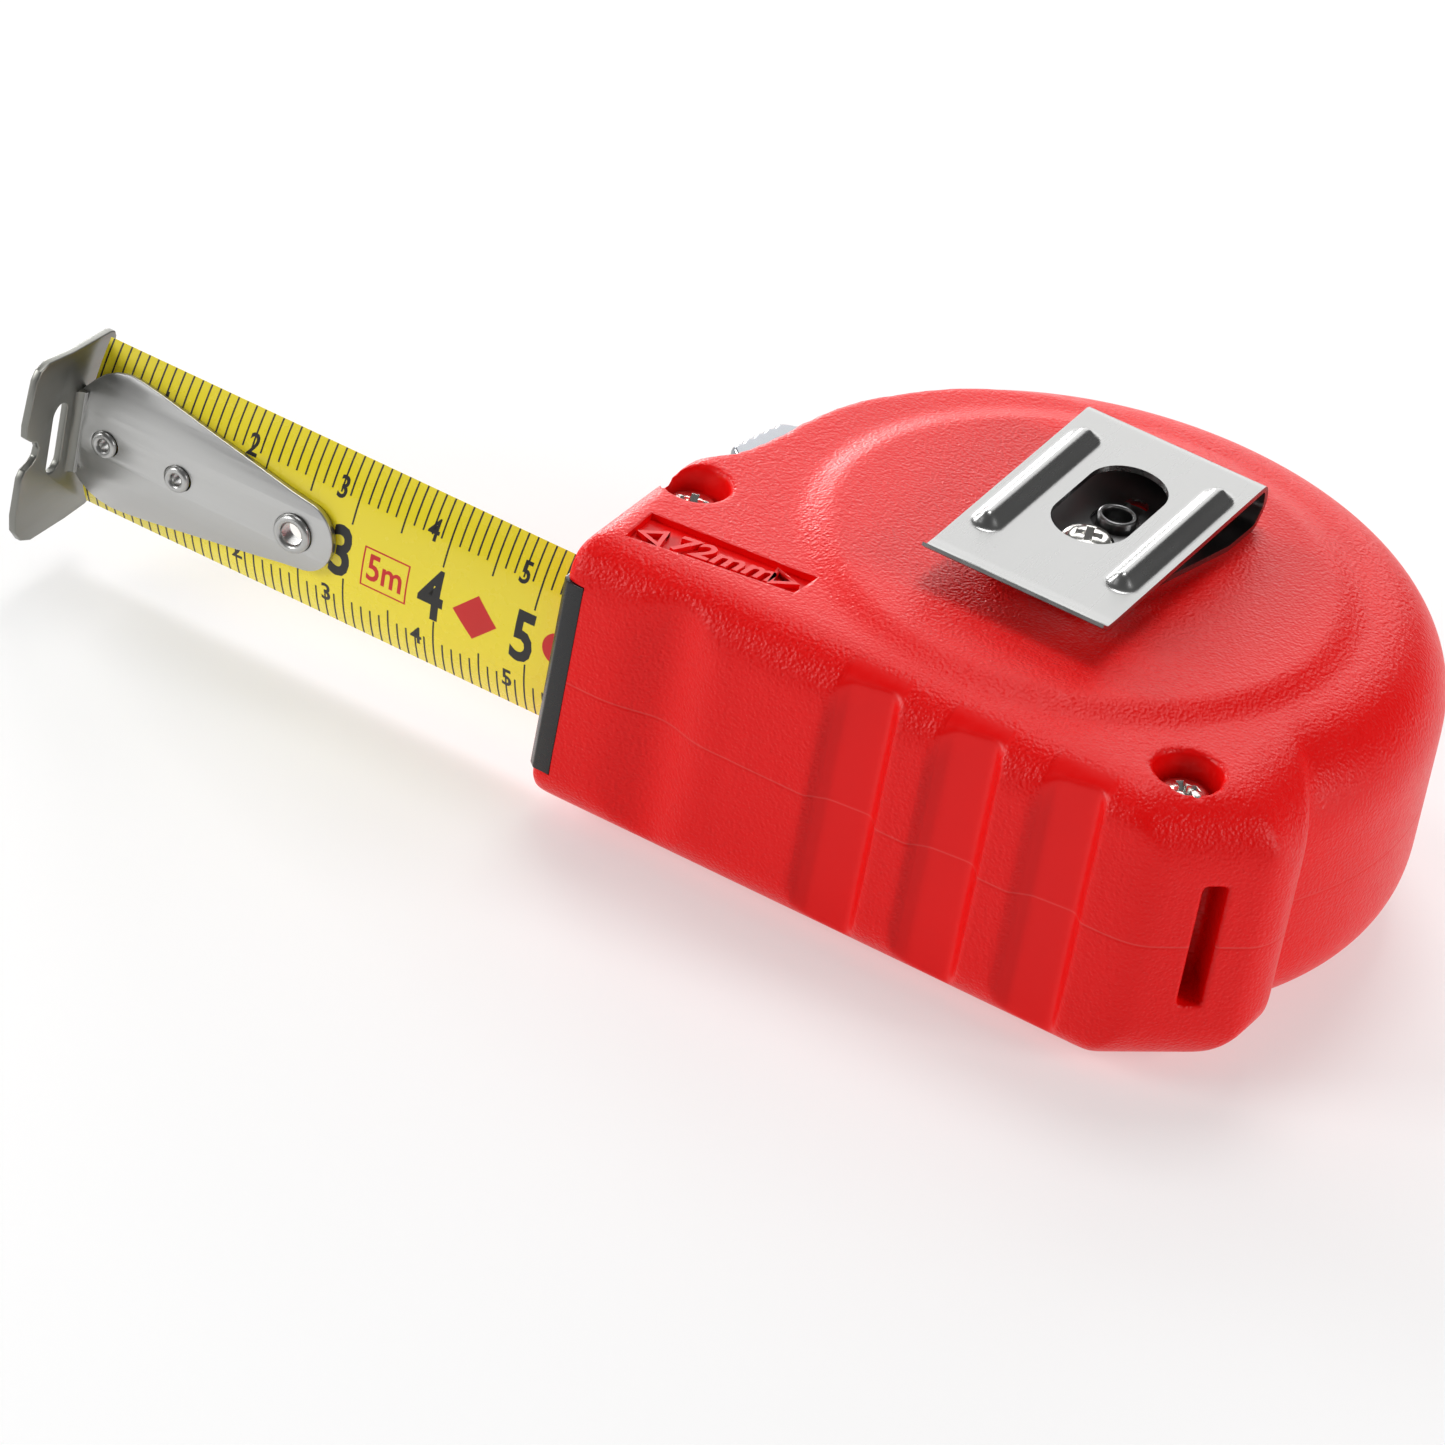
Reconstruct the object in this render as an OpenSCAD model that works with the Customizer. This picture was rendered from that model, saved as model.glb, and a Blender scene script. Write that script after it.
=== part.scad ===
// Pocket tape measure lying on its side, belt clip upwards.
// Origin: on the spool axis, in the plane of the lower side disc.
// +X runs to the rear, +Y to the top of the case, +Z to the belt clip.

/* [Case] */
// Length from the mouth to the rear of the case
case_len = 72; // [64:1:90]
// Outer diameter of the round part
dome_d = 71; // [66:1:88]
// Height of the spool axis above the base
axis_h = 31.5; // [30:0.5:40]
// Thickness over the two raised side discs, beyond the width of the blade
case_extra_w = 12; // [11:0.5:20]
// Wall thickness of the shells
wall = 2; // [1.6:0.1:2.6]
// Height of the raised disc on each side
disc_rise = 1; // [0.5:0.1:1.2]
// Diameter of the flat of the raised disc
disc_d = 48; // [40:1:52]
// Rounding of the rim of the round part
rim_r = 8; // [5:0.5:9]
// Rounding of the long edges of the grip
grip_r = 5; // [3:0.5:6]
// Rounding of the rear edges of the heel
heel_r = 9; // [4:0.5:10]
// Rounding of the front edges of the nose
nose_r = 2.4; // [1:0.2:3]
// Depth of the finger grooves in the base
groove_depth = 0.9; // [0.4:0.1:1]

/* [Blade] */
// Width of the blade, measured flat
blade_w = 19; // [16:0.5:25]
// Thickness of the coated blade
blade_t = 0.15; // [0.12:0.01:0.2]
// Radius of the curve across the extended blade
camber_r = 18; // [14:0.5:30]
// Whole length of the blade
blade_len = 5000; // [3000:100:5500]
// Length that stands out of the mouth
blade_out = 54; // [40:1:54]
// Diameter of the drum that the blade winds on
drum_d = 31; // [28:0.5:33]

/* [Hook] */
// Thickness of the hook's sheet
hook_t = 0.8; // [0.6:0.1:1]
// How far the hook floats on its rivets
hook_float = 1; // [0.8:0.1:1.2]
// Width of the hook's tab
tab_w = 20; // [17:0.5:24]
// Drop of the tab below the blade's edges
tab_drop = 12; // [8:0.5:14]
// Bore of the large eyelet
eyelet_bore = 2.2; // [1.8:0.1:2.4]

/* [Belt clip] */
// Width of the clip
clip_w = 19; // [14:0.5:22]
// Length of the clip from its fold
clip_len = 30; // [26:0.5:32]
// Height of the fold over the raised disc
clip_h = 4.8; // [4.2:0.1:6]
// Thickness of the spring steel
clip_t = 0.8; // [0.6:0.1:1]
// Radius of the two ribs along the clip
rib_r = 1.3; // [1:0.1:1.5]

/* [Lock] */
// Turn of the slider between open and locked, in degrees
lock_turn = 9; // [6:0.5:10]
// Width of the thumb slider
slider_w = 17; // [12:0.5:18]

/* [Fits] */
// Radial running clearance of the turning parts
run_gap = 0.06; // [0.03:0.01:0.1]
// Gap between parts that pass each other
pass_gap = 0.3; // [0.25:0.05:0.5]
// Radius of the case screws
screw_r = 1.3; // [1:0.05:1.5]

/* [Hidden] */
$fn = 96;
eps = 0.01;

dome_r = dome_d / 2;
front = dome_r - case_len;
base = -axis_h;
case_w = blade_w + case_extra_w;
nose_end = 23 - dome_r;
seam_z = case_w / 2;
side_z = disc_rise;
top_z = case_w - disc_rise;
disc_r = disc_d / 2;
disc_slope = 3;

// Channel of the blade, from the mouth to the rear boss
mid_z = seam_z;
camber_half = blade_w / 2 / camber_r * 180 / PI;
chord = 2 * camber_r * sin(camber_half);
sagitta = camber_r * (1 - cos(camber_half));
floor_y = base + 2.2;
blade_y = base + 3.8;
blade_edge_y = blade_y + sagitta;
mouth_w = blade_w + 1.6;
mouth_top_y = blade_edge_y + 3;
lip_depth = 2.4;

// Screws of the case
boss_r = 2.8;
pocket_r = 3.2;
front_screw = [front + 3.4, base + 17.2];
rear_screw = [dome_r - 11.8, base + 8.5];
screw_xy = [front_screw, rear_screw];
head_r = 2.6;
head_h = 1.6;
head_seat_z = case_w - 4.6;
screw_len = 16;
channel_end = rear_screw[0] - boss_r - 0.4;

// Finger grooves, from the mouth
groove_x = 28.8;
groove_w = 6.4;
groove_pitch = 10.6;

// Reel
inner_lo = side_z + wall - 0.2;
inner_hi = case_w - inner_lo;
chamber_r = dome_r - wall;
post_r = 3.4;
post_slot = 0.8;
post_bore = 7;
collar_r = 7.5;
drum_r = drum_d / 2;
drum_wall = 1;
washer_t = 0.9;
flange_t = 1.1;
flange_lo = inner_lo + washer_t + pass_gap;
flange_hi = case_w - flange_lo;
blade_in = max(front + 3.2, 2.2 - dome_r);
coil_r = sqrt(drum_r * drum_r + (blade_len - blade_out) * blade_t / PI);
flange_r = coil_r + 1.6;
anchor_w = 5;
spring_w = flange_hi - flange_lo - 2 * flange_t - 2;

// Straight run of the blade from the mouth to the coil
run_r = coil_r + blade_t;
lead_from = [blade_in + 0.1, blade_edge_y - 1];
lead_reach = norm(lead_from);
lead_a = 360 + atan2(lead_from[1], lead_from[0]) + acos(run_r / lead_reach);

// Slot for a wrist cord, its middle measured from the rear and the base
cord_slot = [6, 6];
cord_slot_w = 2.3;
cord_slot_len = 13;

// Hook, measured from the inner face of its tab
rivet_x = [3.5, 11.7];
rivet_r = 0.9;
rivet_head = 1.35;
eyelet_x = 24.6;
eyelet_r = eyelet_bore / 2 + 0.35;
eyelet_head = eyelet_bore / 2 + 0.9;
head_t = 0.3;
hook_gap = 0.08;
blade_back = hook_float / 2 + 0.1;

// Belt clip
clip_y = 15;
fold_gap = 10;
foot_len = clip_len - 5;
leaf_end_z = case_w + clip_h - clip_t - 1.6;
leaf_hi = case_w + clip_h;
fold_r = clip_h / 2;
foot_taper = 3.2;
foot_shoulder = 4.5;
rib_x = clip_w / 2 - 2.4;
rib_from = 3.8;
rib_len = clip_len - 11.6;
rib_rise = 0.9;

// Lock, turning about the spool axis
window_w = slider_w - 4;
slider_lo_a = 178;
slider_hi_a = 163;
slider_gap = 0.35;
slider_t = 2;
arm_in = flange_r + 3;
arm_out = flange_r + 6;
arm_a = slider_lo_a - 5;
shoe_r = chamber_r - 2.3;
shoe_gap_a = 1.3;
shoe_a = lead_a - acos(run_r / shoe_r) - shoe_gap_a;

// ---- shared shapes ----

module rim_profile(r, lo, hi, e) {
    translate([0, lo]) square([r - e, hi - lo]);
    translate([0, lo + e]) square([r, hi - lo - 2 * e]);
    for (y = [lo + e, hi - e]) translate([r - e, y]) circle(e);
}

module rounded_bar(w, lo, hi, r) {
    translate([0, lo + r]) square([w, hi - lo - 2 * r]);
    translate([r, lo]) square([w - r, hi - lo]);
    for (y = [lo + r, hi - r]) translate([r, y]) circle(r);
}

module obround(len, r) {
    square([len - 2 * r, 2 * r], center = true);
    for (s = [-1, 1]) translate([s * (len / 2 - r), 0]) circle(r);
}

// Sector of a ring between two angles, both measured from +X
module ring_sector(r_in, r_out, a1, a2) {
    far = 2 * r_out;
    mid = (a1 + a2) / 2;
    intersection() {
        difference() {
            circle(r_out);
            circle(r_in);
        }
        polygon([[0, 0], far * [cos(a1), sin(a1)], far * [cos(mid), sin(mid)], far * [cos(a2), sin(a2)]]);
    }
}

// Strip curved across its width, its hollow side facing +Y, running along +X
module cambered_strip(len, t, w) {
    half = w / 2 / camber_r * 180 / PI;
    far = 2 * camber_r;
    translate([0, blade_y + camber_r, mid_z]) rotate([0, 90, 0]) linear_extrude(len) intersection() {
        difference() {
            circle(camber_r);
            circle(camber_r - t);
        }
        polygon([[0, 0], far * [sin(half), -cos(half)], far * [-sin(half), -cos(half)]]);
    }
}

// ---- case ----

// Outline of the nose, base and heel
module grip_plan() {
    rear = front + case_len - 0.8;
    polygon([[front, base + 1], [front + 1, base], [channel_end + 4, base], [rear - 3.2, base + 6],
             [rear - 0.6, base + 9.2], [rear, base + 13], [rear - 2.6, base + 17.5],
             [rear - 11, base + 24], [nose_end, 2.5], [front + 1, -0.5],
             [front + 1, base + 23.5], [front, base + 21.5]]);
}

module rounded_slab(len, lo, hi, r1, r2) {
    translate([r1, lo]) square([len - r1 - r2, hi - lo]);
    translate([0, lo + r1]) square([r1 + 1, hi - lo - 2 * r1]);
    translate([len - r2 - 1, lo + r2]) square([r2 + 1, hi - lo - 2 * r2]);
    for (y = [lo + r1, hi - r1]) translate([r1, y]) circle(r1);
    for (y = [lo + r2, hi - r2]) translate([len - r2, y]) circle(r2);
}

// Everything above the base, with the long edges rounded
module base_trim() {
    translate([-case_len, base, 0]) rotate([90, 0, 90])
        linear_extrude(2 * case_len) rounded_bar(2 * dome_r + 9, side_z, top_z, grip_r);
}

module grip_body() {
    intersection() {
        linear_extrude(case_w) grip_plan();
        translate([front, 3 * dome_r, 0]) rotate([90, 0, 0])
            linear_extrude(6 * dome_r) rounded_slab(case_len - 0.8, side_z, top_z, nose_r, heel_r);
    }
}

// Concave dip behind the mouth and three finger grooves
module base_cuts() {
    translate([front + 12, base - 7, -1]) cylinder(h = case_w + 2, r = 8);
    for (i = [0:2]) translate([front + groove_x + groove_pitch * i, base - 1, -1])
        cube([groove_w, 1 + groove_depth, case_w + 2]);
}

module side_disc() {
    cylinder(h = disc_rise + eps, r1 = disc_r, r2 = disc_r + disc_slope);
}

module case_body() {
    difference() {
        union() {
            intersection() {
                union() {
                    rotate_extrude() rim_profile(dome_r, side_z, top_z, rim_r);
                    grip_body();
                }
                base_trim();
            }
            side_disc();
            translate([0, 0, case_w]) mirror([0, 0, 1]) side_disc();
        }
        base_cuts();
        intersection() {
            rotate_extrude() rim_profile(chamber_r, inner_lo, inner_hi, rim_r - wall);
            translate([-case_len, floor_y, 0]) cube([2 * case_len, 2 * case_len, case_w]);
        }
        // channel of the blade
        translate([front - 1, floor_y, mid_z - mouth_w / 2])
            cube([channel_end - front + 1, mouth_top_y - floor_y, mouth_w]);
        translate([front + wall, mouth_top_y - eps, mid_z - mouth_w / 2])
            cube([nose_end - front - wall, 18, mouth_w]);
        // seat of the lip
        translate([front - 1, base - 1, mid_z - mouth_w / 2]) cube([lip_depth + 1, 4, mouth_w]);
        // window of the lock slider
        translate([0, 0, mid_z - window_w / 2]) linear_extrude(window_w)
            ring_sector(dome_r - wall - 2, dome_r + 3, slider_hi_a + 3, slider_lo_a + lock_turn - 2);
        // slot for a wrist cord in the heel
        translate([dome_r - cord_slot[0], base + cord_slot[1], mid_z]) rotate([0, 0, 36])
            cube([cord_slot_w, 9, cord_slot_len], center = true);
    }
}

module case_lower() {
    color("red") difference() {
        union() {
            intersection() {
                case_body();
                translate([-100, -100, 0]) cube([200, 200, seam_z]);
            }
            for (p = screw_xy) translate([p[0], p[1], side_z + 0.6]) cylinder(h = seam_z - side_z - 0.6, r = boss_r);
            translate([0, 0, inner_lo - eps]) difference() {
                cylinder(h = flange_lo + flange_t - inner_lo, r = collar_r);
                translate([0, 0, -1]) cylinder(h = 10, r = post_r);
            }
        }
        for (p = screw_xy) translate([p[0], p[1], head_seat_z - screw_len]) cylinder(h = screw_len, r = screw_r);
    }
}

module case_upper() {
    color("red") difference() {
        union() {
            intersection() {
                case_body();
                translate([-100, -100, seam_z]) cube([200, 200, seam_z]);
            }
            for (p = screw_xy) translate([p[0], p[1], seam_z]) cylinder(h = top_z - seam_z - 1, r = boss_r);
            translate([0, 0, inner_hi + eps]) mirror([0, 0, 1]) difference() {
                cylinder(h = flange_lo + flange_t - inner_lo, r = collar_r);
                translate([0, 0, -1]) cylinder(h = 10, r = post_r);
            }
        }
        for (p = screw_xy) translate([p[0], p[1], 0]) {
            cylinder(h = case_w, r = screw_r);
            translate([0, 0, head_seat_z]) cylinder(h = case_w, r = pocket_r);
        }
        translate([0, 0, seam_z]) cylinder(h = case_w, r = screw_r);
    }
}

module mouth_lip() {
    color([0.08, 0.08, 0.08]) translate([front, base, mid_z - mouth_w / 2 + 0.1]) difference() {
        cube([lip_depth, floor_y - base, mouth_w - 0.2]);
        translate([0, 0, -1]) rotate([0, 0, 45]) cube([1, 1, 60], center = true);
    }
}

module case_screws() {
    color("silver") for (p = screw_xy) translate([p[0], p[1], head_seat_z]) pan_screw(screw_len);
}

// Pan-head screw with a cross recess, its seat at z = 0
module pan_screw(len) {
    difference() {
        union() {
            translate([0, 0, -len]) cylinder(h = len, r = screw_r);
            cylinder(h = head_h - 0.5, r = head_r);
            translate([0, 0, head_h - 0.5 - eps]) cylinder(h = 0.5, r1 = head_r, r2 = head_r - 0.6);
        }
        for (a = [0, 90]) rotate([0, 0, a]) translate([0, 0, head_h]) cube([2.8, 0.7, 2], center = true);
    }
}

module spindle_post() {
    color("gray") difference() {
        translate([0, 0, inner_lo]) cylinder(h = inner_hi - inner_lo, r = post_r);
        translate([-post_slot / 2, 0, flange_lo + flange_t + 0.7]) cube([post_slot, 2 * post_r, spring_w + 0.6]);
        translate([0, 0, inner_hi - post_bore]) cylinder(h = post_bore + 1, r = screw_r);
    }
}

module washer_lower() {
    color("white") translate([0, 0, inner_lo]) ring(washer_t, collar_r, collar_r + 5);
}

module washer_upper() {
    color("white") translate([0, 0, inner_hi - washer_t]) ring(washer_t, collar_r, collar_r + 5);
}

module ring(h, r_in, r_out) {
    difference() {
        cylinder(h = h, r = r_out);
        translate([0, 0, -1]) cylinder(h = h + 2, r = r_in);
    }
}

// ---- belt clip ----

module clip_foot() {
    half = clip_w / 2;
    straight = foot_len - foot_shoulder;
    tip = half - foot_taper;
    color("silver") difference() {
        union() {
            translate([0, clip_y - foot_len, case_w]) linear_extrude(clip_t)
                polygon([[-tip, 0], [tip, 0], [half, straight], [half, foot_len], [-half, foot_len], [-half, straight]]);
            translate([-clip_w / 2, clip_y, case_w + fold_r]) rotate([0, 90, 0])
                linear_extrude(clip_w) ring_sector(fold_r - clip_t, fold_r, 0, 84 - fold_gap);
        }
        translate([0, 0, case_w - 1]) cylinder(h = 3, r = screw_r);
    }
}

module clip_leaf() {
    slope = atan((leaf_hi - clip_t - leaf_end_z) / clip_len);
    color("silver") difference() {
        union() {
            translate([-clip_w / 2, clip_y, case_w + fold_r]) rotate([0, 90, 0]) linear_extrude(clip_w) {
                ring_sector(fold_r - clip_t, fold_r, 84, 180);
                translate([clip_t - fold_r, 0]) rotate(slope)
                    translate([-clip_t, -clip_len]) square([clip_t, clip_len + 0.25]);
            }
            for (s = [-1, 1]) translate([s * rib_x, clip_y, leaf_hi - clip_t]) rotate([slope, 0, 0])
                translate([0, -rib_from, 0]) clip_rib();
        }
        translate([0, 3.5, case_w]) linear_extrude(10) rotate(90) obround(15, 4);
    }
}

// Rib that stands on the leaf, its corners cut off
module clip_rib() {
    c = rib_r / 2;
    h = rib_len / 2 + rib_r;
    translate([0, -rib_len / 2, clip_t / 2]) linear_extrude(clip_t / 2 + rib_rise)
        polygon([[-c, -h], [c, -h], [rib_r, c - h], [rib_r, h - c], [c, h], [-c, h], [-rib_r, h - c], [-rib_r, c - h]]);
}

module clip_screw() {
    color("silver") translate([0, 0, case_w + clip_t]) pan_screw(8.5);
}

// ---- reel ----

module reel_drum() {
    color("dimgray") difference() {
        union() {
            translate([0, 0, flange_lo]) cylinder(h = flange_t, r = flange_r);
            translate([0, 0, flange_lo]) ring(flange_hi - flange_lo - flange_t, drum_r - drum_wall, drum_r);
        }
        translate([0, 0, flange_lo - 1]) cylinder(h = 5, r = collar_r + run_gap);
    }
}

module reel_cover() {
    color("gray") translate([0, 0, flange_hi - flange_t]) ring(flange_t, collar_r + run_gap, flange_r);
}

module blade_coil() {
    color("gold") translate([0, 0, mid_z - blade_w / 2]) ring(blade_w, drum_r, coil_r);
}

module blade_anchor() {
    color("silver") translate([0, 0, mid_z - anchor_w / 2]) linear_extrude(anchor_w)
        ring_sector(drum_r - drum_wall - 0.6, drum_r - drum_wall, 80, 100);
}

// Flat spiral from the slotted post out to the drum
module power_spring() {
    turns = 7;
    steps = 24;
    t = 0.4;
    r1 = post_r + 0.3;
    r2 = drum_r - drum_wall - 0.7 - t;
    n = turns * steps;
    inner = [for (i = [0:n]) (r1 + (r2 - r1) * i / n) * [cos(90 + 360 * i / steps), sin(90 + 360 * i / steps)]];
    outer = [for (i = [n:-1:0]) (r1 + t + (r2 - r1) * i / n) * [cos(90 + 360 * i / steps), sin(90 + 360 * i / steps)]];
    tail = [[t / 2, screw_r + 0.3], [-t / 2, screw_r + 0.3]];
    color("steelblue") translate([0, 0, flange_lo + flange_t + 1])
        linear_extrude(spring_w) polygon(concat(inner, outer, tail));
}

// Flat run of the blade from the strip's inner end to the coil
module blade_lead() {
    run_len = sqrt(lead_reach * lead_reach - run_r * run_r);
    way = run_r * [cos(lead_a), sin(lead_a)] - lead_from;
    color("gold") translate([lead_from[0], lead_from[1], mid_z - blade_w / 2]) rotate([0, 0, atan2(way[1], way[0])])
        translate([0, -blade_t, 0]) cube([run_len, blade_t, blade_w]);
}

// ---- extended blade and hook ----

module blade() {
    tip = front - blade_out;
    color("yellow") difference() {
        translate([tip + blade_back, 0, 0]) cambered_strip(blade_in - tip - blade_back, blade_t, blade_w);
        for (x = rivet_x) translate([tip + x, blade_y - 5, mid_z]) rotate([-90, 0, 0]) cylinder(h = 20, r = rivet_r + 0.02);
        translate([tip + eyelet_x, blade_y - 5, mid_z]) rotate([-90, 0, 0]) cylinder(h = 20, r = eyelet_r + 0.02);
    }
}

// Hollow rivet through the blade, its head on the side of the hook
module hollow_rivet(r, head, bore) {
    low = blade_y - hook_t - 2 * hook_gap;
    high = blade_y + blade_t + head * head / 2 / camber_r + 0.02;
    rotate([-90, 0, 0]) difference() {
        union() {
            translate([0, 0, low - head_t]) cylinder(h = high - low + 2 * head_t, r = r);
            translate([0, 0, low - head_t]) cylinder(h = head_t, r = head);
            translate([0, 0, high]) cylinder(h = head_t, r = head);
        }
        translate([0, 0, low - 2]) cylinder(h = 10, r = bore);
    }
}

module hook_rivets() {
    color("silver") for (x = rivet_x) translate([front - blade_out + x, 0, mid_z])
        hollow_rivet(rivet_r, rivet_head, rivet_r - 0.4);
}

module hook_eyelet() {
    color("silver") translate([front - blade_out + eyelet_x, 0, mid_z])
        hollow_rivet(eyelet_r, eyelet_head, eyelet_bore / 2);
}

module hook_outline() {
    polygon([[0, -tab_w / 2 + 1], [1.4, -7.4], [14, -5.2], [27, -3.2], [29.4, 0], [27, 3.2], [14, 5.2],
             [1.4, 7.4], [0, tab_w / 2 - 1]]);
}

module hook() {
    tip = front - blade_out;
    color("gray") union() {
        // plate under the blade
        intersection() {
            translate([tip - hook_t, -hook_gap, 0]) lower_layer(32, hook_t);
            difference() {
                translate([tip - hook_t + 0.4, blade_y + 5, mid_z]) rotate([90, 0, 0])
                    linear_extrude(12) hook_outline();
                for (x = rivet_x) translate([tip + x, blade_y + 5, mid_z]) rotate([90, 0, 0])
                    linear_extrude(12) obround(2 * rivet_r + 0.2 + hook_float, rivet_r + 0.1);
                translate([tip + eyelet_x, blade_y + 5, mid_z]) rotate([90, 0, 0])
                    linear_extrude(12) obround(2 * eyelet_r + 0.2 + hook_float, eyelet_r + 0.1);
            }
        }
        // tab across the end
        translate([tip - hook_t, 0, mid_z]) rotate([0, 90, 0]) linear_extrude(hook_t) difference() {
            tab_outline();
            translate([0, blade_edge_y - 6]) obround(10, 1.5);
        }
    }
}

// Layer that lies under the blade and follows its camber
module lower_layer(len, t) {
    far = 3 * camber_r;
    half = camber_half + 2;
    translate([0, blade_y + camber_r, mid_z]) rotate([0, 90, 0]) linear_extrude(len) intersection() {
        difference() {
            circle(camber_r + t);
            circle(camber_r);
        }
        polygon([[0, 0], far * [sin(half), -cos(half)], far * [-sin(half), -cos(half)]]);
    }
}

module tab_outline() {
    top = blade_edge_y + 0.6;
    low = blade_edge_y - tab_drop;
    h = tab_w / 2;
    polygon([[1.2 - h, top], [-h, low + 1.2], [-3.5, low], [-1.9, low + 1.2], [0.4, low + 2.7], [1, low + 1],
             [6.6, low + 0.3], [h - 0.2, low + 3.5], [h, top - 3], [h - 0.8, top]]);
}

// ---- lock ----

module lock_slider() {
    color("silver") translate([0, 0, mid_z - slider_w / 2]) linear_extrude(slider_w)
        ring_sector(dome_r + slider_gap, dome_r + slider_gap + slider_t, slider_hi_a, slider_lo_a);
}

module lock_arm() {
    neck_w = window_w - 2 * pass_gap;
    color("black") translate([0, 0, mid_z - neck_w / 2]) linear_extrude(neck_w)
        ring_sector(arm_in, dome_r + slider_gap, slider_hi_a + 5, arm_a);
}

module brake_shoe() {
    color("darkgray") translate([0, 0, mid_z - 4]) linear_extrude(8) {
        ring_sector(arm_in, arm_out, arm_a, shoe_a);
        ring_sector(arm_in, shoe_r, shoe_a - 8, shoe_a);
    }
}

module lock_detent() {
    color("silver") translate([0, 0, mid_z - 2]) linear_extrude(4)
        ring_sector(chamber_r - 0.5, chamber_r, 144, slider_hi_a);
}

case_lower();
case_upper();
mouth_lip();
spindle_post();
case_screws();
clip_foot();
clip_leaf();
clip_screw();
washer_lower();
washer_upper();
reel_drum();
reel_cover();
blade_coil();
blade_anchor();
power_spring();
blade_lead();
blade();
hook_rivets();
hook_eyelet();
hook();
lock_slider();
lock_arm();
brake_shoe();
lock_detent();
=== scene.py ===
import bpy
import bmesh
from math import sin, cos, tan, pi, radians, degrees, atan2, sqrt
from mathutils import Matrix, Vector


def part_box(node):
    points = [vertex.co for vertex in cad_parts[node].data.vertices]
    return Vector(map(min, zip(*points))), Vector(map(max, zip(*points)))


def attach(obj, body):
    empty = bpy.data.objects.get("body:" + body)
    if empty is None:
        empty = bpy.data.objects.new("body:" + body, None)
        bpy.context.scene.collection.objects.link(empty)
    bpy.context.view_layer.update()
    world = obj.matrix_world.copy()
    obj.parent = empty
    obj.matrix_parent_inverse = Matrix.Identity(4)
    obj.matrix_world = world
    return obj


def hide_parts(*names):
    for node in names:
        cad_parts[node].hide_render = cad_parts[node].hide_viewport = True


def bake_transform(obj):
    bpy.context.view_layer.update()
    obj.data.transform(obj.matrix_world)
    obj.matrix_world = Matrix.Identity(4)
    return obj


# Pocket tape measure on its side. Shapes are drawn in millimetres and scaled to metres when a piece is finished.
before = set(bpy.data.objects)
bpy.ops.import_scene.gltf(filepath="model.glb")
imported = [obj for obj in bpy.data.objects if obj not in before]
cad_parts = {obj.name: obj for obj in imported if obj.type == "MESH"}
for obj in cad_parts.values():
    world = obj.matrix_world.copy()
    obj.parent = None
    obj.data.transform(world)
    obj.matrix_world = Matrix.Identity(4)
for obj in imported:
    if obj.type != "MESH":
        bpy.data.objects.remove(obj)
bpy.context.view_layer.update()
mm = 0.001
scene = bpy.context.scene
scene.view_settings.view_transform = "Standard"
print("frame loaded")

caseLow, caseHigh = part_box("case_lower")
front = caseLow.x / mm      # face of the mouth
base = caseLow.y / mm       # base of the case
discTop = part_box("case_upper")[1].z / mm
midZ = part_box("case_lower")[1].z / mm      # parting plane

cameraSet = {"place": (0.2761, -0.6734, 0.4719), "azimuth": 24.61, "elevation": 32.68, "roll": 11.39,
             "lens": 231.76, "sensor": 36}


def addCamera(s):
    data = bpy.data.cameras.new("camera")
    data.lens = s["lens"]
    data.sensor_width = s["sensor"]
    data.clip_start, data.clip_end = 0.05, 20
    cam = bpy.data.objects.new("camera", data)
    scene.collection.objects.link(cam)
    a, e, r = (radians(s[k]) for k in ("azimuth", "elevation", "roll"))
    forward = Vector((-sin(a) * cos(e), cos(a) * cos(e), -sin(e)))
    right = forward.cross(Vector((0, 0, 1))).normalized()
    up = right.cross(forward)
    camRight = right * cos(r) + up * sin(r)
    camUp = up * cos(r) - right * sin(r)
    m = Matrix((camRight, camUp, -forward)).transposed().to_4x4()
    m.translation = Vector(s["place"])
    cam.matrix_world = m
    scene.camera = cam


addCamera(cameraSet)


def finishMesh(bm, name, angle=35, merge=0.0005):     # from millimetres to metres
    bmesh.ops.remove_doubles(bm, verts=bm.verts, dist=merge)
    bmesh.ops.recalc_face_normals(bm, faces=bm.faces)
    bmesh.ops.scale(bm, vec=(mm, mm, mm), verts=bm.verts)
    mesh = bpy.data.meshes.new(name)
    bm.to_mesh(mesh)
    bm.free()
    obj = bpy.data.objects.new(name, mesh)
    scene.collection.objects.link(obj)
    smoothByAngle(obj, angle)
    return obj


def smoothByAngle(obj, angle):
    obj.data.shade_smooth()
    obj.data.set_sharp_from_angle(angle=radians(angle))


def applyMods(obj):
    bpy.context.view_layer.update()
    made = bpy.data.meshes.new_from_object(obj.evaluated_get(bpy.context.evaluated_depsgraph_get()))
    old = obj.data
    obj.modifiers.clear()
    obj.data = made
    made.name = obj.name
    bpy.data.meshes.remove(old)
    return obj


def combine(obj, other, how="DIFFERENCE", solver="MANIFOLD", keep=False):
    mod = obj.modifiers.new("combine", "BOOLEAN")
    mod.operation, mod.solver, mod.object = how, solver, other
    if solver == "EXACT":
        mod.material_mode = "TRANSFER"
    applyMods(obj)
    if not keep:
        bpy.data.objects.remove(other)
    return obj


def remesh(obj, size, rounds, factor=0.5):
    mod = obj.modifiers.new("remesh", "REMESH")
    mod.mode, mod.voxel_size = "VOXEL", size * mm
    mod.adaptivity = 0
    if rounds:
        soft = obj.modifiers.new("soft", "SMOOTH")
        soft.factor, soft.iterations = factor, rounds
    return applyMods(obj)


def outline(bm, points, z=0):
    return bm.faces.new([bm.verts.new((x, y, z)) for x, y in points])


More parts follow.
